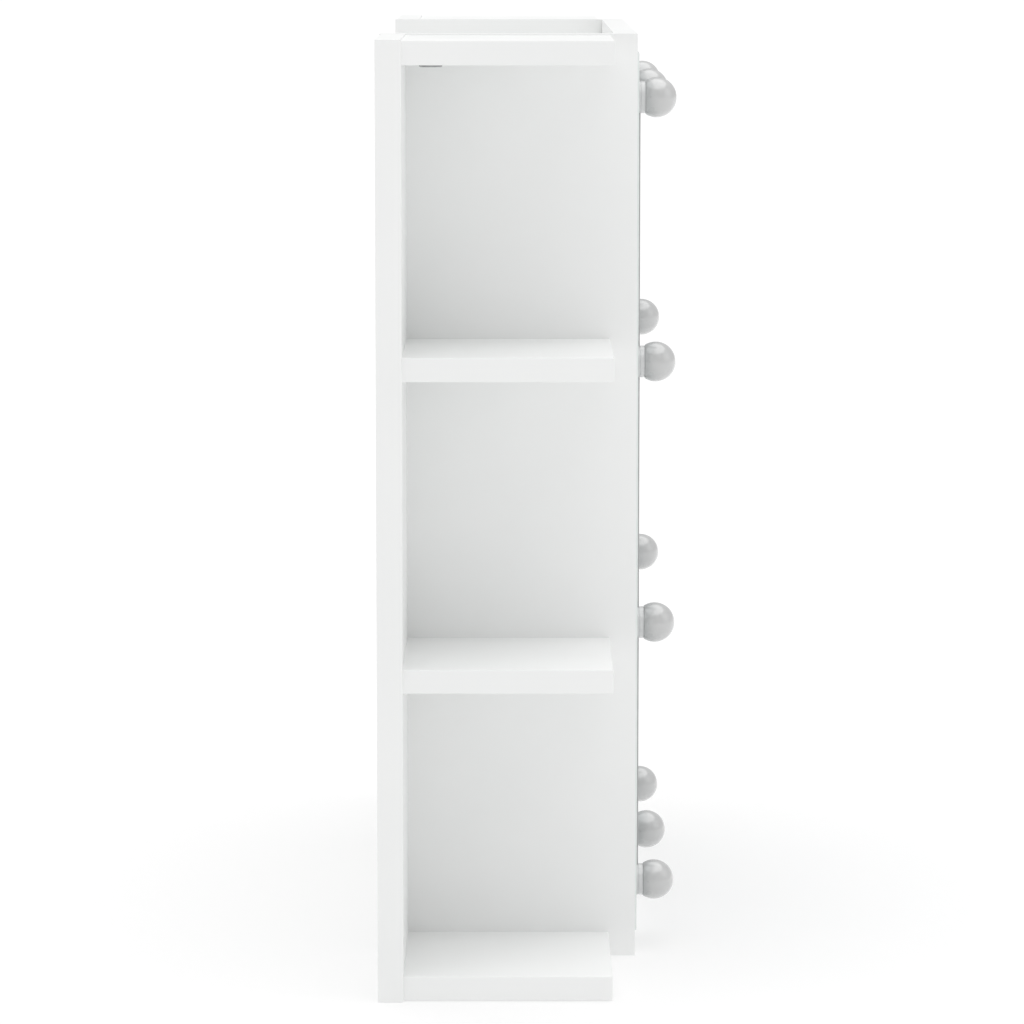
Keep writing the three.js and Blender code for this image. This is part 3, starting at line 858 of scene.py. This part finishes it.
def driver(white, black, steel, lens):
    """The lamp driver: a lidded box with vents, a seam, corner screws, a button and an inlet."""
    lo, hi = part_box("driver_box")
    button_lo, button_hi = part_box("power_button")
    inlet_lo, inlet_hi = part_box("dc_inlet")
    middle, button = (lo + hi) / 2, (button_lo + button_hi) / 2
    play, lid, inset, sunk = 0.3 * MM, 4 * MM, 5 * MM, 0.05 * MM
    well = (button_hi.x - button_lo.x) / 2 + play
    bore = (inlet_hi.x - inlet_lo.x) / 2 + play
    inlet_at = ((inlet_lo.x + inlet_hi.x) / 2, middle.y, lo.z)
    cuts = [
        round_hole("well", well, 4.2 * MM, (button.x, hi.y, button.z), WALL_FACING),
        round_hole("bore", bore, 8.4 * MM, inlet_at, DOWN_FACING),
        lid_seam(lo, hi, hi.y - lid),
        *vent_slots(hi.y, middle),
    ]
    shell = carve(slab("driver_shell", lo, hi, 2 * MM, 4), *cuts)
    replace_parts(piece("driver_shell", shell, white, "door"), "driver_box")
    columns, rows = (lo.x + inset, hi.x - inset), (lo.z + inset, hi.z - inset)
    places = [(x, hi.y - sunk, z) for x in columns for z in rows]
    screws("driver_screw", 2.2 * MM, steel, "door", places, WALL_FACING)
    light = lathe("status_lens", [(0, -MM), (1.3 * MM, -MM), (1.3 * MM, 0.2 * MM), (0, 0.5 * MM)], 28)
    at = (button.x, hi.y, button.z + 12 * MM)
    piece("status_lens", light, lens, "door", at, WALL_FACING)
    power_button(black, button_lo, button_hi)
    supply_inlet(black, steel, inlet_lo, inlet_hi)


def power_button(black, lo, hi):
    """A round push button with a rolled rim and a dished face."""
    r, tall = (hi.x - lo.x) / 2, hi.y - lo.y
    profile = [
        (0, 0),
        (r, 0),
        (r, tall - 0.7 * MM),
        (r - 0.2 * MM, tall - 0.2 * MM),
        (r - 0.8 * MM, tall),
        (r - 1.3 * MM, tall - 0.15 * MM),
        (0.5 * r, tall - 0.5 * MM),
        (0.2 * r, tall - 0.6 * MM),
        (0, tall - 0.62 * MM),
    ]
    at = ((lo.x + hi.x) / 2, lo.y, (lo.z + hi.z) / 2)
    knob = lathe("push_button", profile, 56)
    cap = piece("push_button", knob, black, "power_button", at, WALL_FACING)
    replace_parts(cap, "power_button")


def supply_inlet(black, steel, lo, hi):
    """The round inlet under the driver, with its centre pin."""
    r, tall = (hi.x - lo.x) / 2, hi.z - lo.z
    bore, depth = r - 1.5 * MM, 8 * MM
    profile = [
        (0, 0),
        (r, 0),
        (r, tall - 0.5 * MM),
        (r - 0.5 * MM, tall),
        (bore + 0.4 * MM, tall),
        (bore, tall - 0.4 * MM),
        (bore, tall - depth),
        (0, tall - depth),
    ]
    at = ((lo.x + hi.x) / 2, (lo.y + hi.y) / 2, hi.z)
    cup = lathe("supply_inlet", profile, 48)
    barrel = piece("supply_inlet", cup, black, "door", at, DOWN_FACING)
    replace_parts(barrel, "dc_inlet")
    foot, tip, point = tall - depth - MM, tall - 1.2 * MM, 0.6 * MM
    profile = [(0, foot), (MM, foot), (MM, tip - point), (0.5 * MM, tip), (0, tip)]
    rod = lathe("inlet_pin", profile, 24)
    piece("inlet_pin", rod, steel, "door", at, DOWN_FACING)


# ---- Hinges ----


def hinges(steel):
    """The CAD leaves and pins with eased edges, and screws in the faces that open to view."""
    from_front, pitch, sunk, radius = 7.5 * MM, 17 * MM, 0.15 * MM, 2.3 * MM
    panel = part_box("side_panel_right")[0]
    door_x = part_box("door_board")[1].x - sunk
    for word in ("lower", "upper"):
        for part in ("frame_leaf", "door_leaf", "pin"):
            dress(f"hinge_{word}_{part}", steel, 0.2 * MM, 2)
        z = centre(f"hinge_{word}_pin").z
        rows = [(panel.y + from_front, z + dz) for dz in (-pitch, 0, pitch)]
        name = f"hinge_{word}_frame_screw"
        places = [(panel.x + sunk, *row) for row in rows]
        screws(name, radius, steel, "cabinet", places, LEFT_FACING)
        name = f"hinge_{word}_door_screw"
        places = [(door_x, *row) for row in rows]
        screws(name, radius, steel, "door", places, RIGHT_FACING)


# ---- Inside ----


def necklace_rail(white):
    """A rounded batten with a turned peg at each CAD peg."""
    lo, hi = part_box("necklace_rail")
    pegs, pitch, tilt = 9, 41 * MM, 10
    thick, tall = 9 * MM, 14 * MM
    face = hi.y - thick
    bar = slab("rail_bar", (lo.x, face, lo.z), (hi.x, hi.y, lo.z + tall), 2 * MM, 4)
    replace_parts(piece("rail_bar", bar, white, "cabinet"), "necklace_rail")
    profile = [
        (0, -4 * MM),
        (2.4 * MM, -4 * MM),
        (2.4 * MM, 0),
        (2.2 * MM, 12 * MM),
        (2.4 * MM, 23 * MM),
        (3.2 * MM, 25.2 * MM),
        (4.2 * MM, 26.6 * MM),
        (4.4 * MM, 28.4 * MM),
        (3.9 * MM, 30 * MM),
        (2.4 * MM, 31.3 * MM),
        (0, 31.8 * MM),
    ]
    peg = lathe("rail_peg", profile, 40)
    lean = Matrix.Rotation(math.radians(90 - tilt), 4, "X")
    for i in range(pegs):
        x = (lo.x + hi.x) / 2 + (i - (pegs - 1) / 2) * pitch
        at = (x, face, lo.z + tall / 2)
        piece(f"rail_peg_{i + 1}", peg, white, "cabinet", at, lean)


def roll_mesh(length, radius):
    """One stuffed velvet roll along X, blown up by a short cloth run and gathered at its ends."""
    half, across = length / 2 - 2 * MM, radius - 1.5 * MM
    start = slab("roll", (-half, -across, -across), (half, across, across), radius * 0.6, 5)
    roll = bpy.data.objects.new("roll", start)
    bpy.context.collection.objects.link(roll)
    remesh = roll.modifiers.new("remesh", "REMESH")
    remesh.mode = "VOXEL"
    remesh.voxel_size = 4 * MM
    roll.data = applied(roll)
    roll.modifiers.clear()
    puff(roll)
    gather(roll.data, length, radius)
    smoothing = roll.modifiers.new("finer", "SUBSURF")
    smoothing.levels = smoothing.render_levels = 1
    result = applied(roll)
    bpy.data.objects.remove(roll)
    result.shade_smooth()
    result.name = "roll"
    return result


def gather(mesh, length, radius):
    """Holds a roll to its radius and length, and draws its ends in with small pleats."""
    reach, narrowing, pleats, pleat_depth = 5 * MM, 0.55, 9, 0.05
    for vert in mesh.vertices:
        x, y, z = vert.co
        end = max(0.0, abs(x) - (length / 2 - reach)) / reach
        out = math.hypot(y, z) or 1e-9
        ripple = 1 + pleat_depth * math.sin(pleats * math.atan2(z, y)) * min(1, 2 * end)
        limit = radius * math.sqrt(max(0.0, 1 - narrowing * min(1, end) ** 2)) * ripple
        scale = min(1.0, limit / out)
        vert.co = (max(-length / 2, min(length / 2, x)), y * scale, z * scale)


def applied(obj):
    """A new mesh of the object with its modifiers applied."""
    graph = bpy.context.evaluated_depsgraph_get()
    return bpy.data.meshes.new_from_object(obj.evaluated_get(graph))


def puff(obj):
    """Blows a closed cloth up with a little pressure, and caps how far each point moves."""
    cap, last_frame = 3 * MM, 20
    rest = [vert.co.copy() for vert in obj.data.vertices]
    cloth = obj.modifiers.new("cloth", "CLOTH")
    cloth.settings.use_pressure = True
    cloth.settings.uniform_pressure_force = 4
    cloth.settings.effector_weights.gravity = 0
    cloth.settings.mass = 0.2
    cloth.settings.tension_stiffness = 12
    scene = bpy.context.scene
    for step in range(1, last_frame + 1):
        scene.frame_set(step)
    blown = applied(obj)
    scene.frame_set(1)
    obj.modifiers.clear()
    for vert, old in zip(blown.vertices, rest):
        move = vert.co - old
        if move.length > cap:
            vert.co = old + move.normalized() * cap
    obj.data = blown


def ring_cushion(cloth):
    """Stuffed velvet rolls side by side on a covered base, with slits between them for rings."""
    lo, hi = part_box("ring_cushion")
    rolls, base_height, end_gap = 4, 7 * MM, 1.5 * MM
    base = slab("ring_base", lo, (hi.x, hi.y, lo.z + base_height), 2.5 * MM, 4)
    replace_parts(piece("ring_base", base, cloth, "cabinet"), "ring_cushion")
    pitch = (hi.y - lo.y) / rolls
    radius = pitch / 2 - 0.2 * MM
    mesh = roll_mesh(hi.x - lo.x - 2 * end_gap, radius)
    mesh.materials.clear()
    for i in range(rolls):
        at = ((lo.x + hi.x) / 2, lo.y + (i + 0.5) * pitch, hi.z - radius)
        turn = Matrix.Rotation(math.radians(50 * i), 4, "X")
        roll = piece(f"ring_roll_{i + 1}", mesh, cloth, "cabinet", at, turn)


# ---- Scene ----

camera()
floor()
lighting()

white = melamine()
steel = zinc_plate()
glossy = gloss_white()
black = black_plastic()
grey = soft_grey()
clear = clear_bumper()

boards(white, hardboard())
back_screws(steel)
panel_nails(steel)
shelf_pins(steel)
cam_locks(cast_zinc())
hanger_plates(steel)
cable_grommet(black)
lamps(frosted(), glossy)
lamp_lead(grey)
feed_lead(grey, black)
mirror(silver(), glass_edge(), backing_paint())
bumpers(clear)
strike_plate(steel)
magnet_catch(glossy, steel)
driver(glossy, black, steel, clear)
hinges(steel)
necklace_rail(glossy)
ring_cushion(velvet())
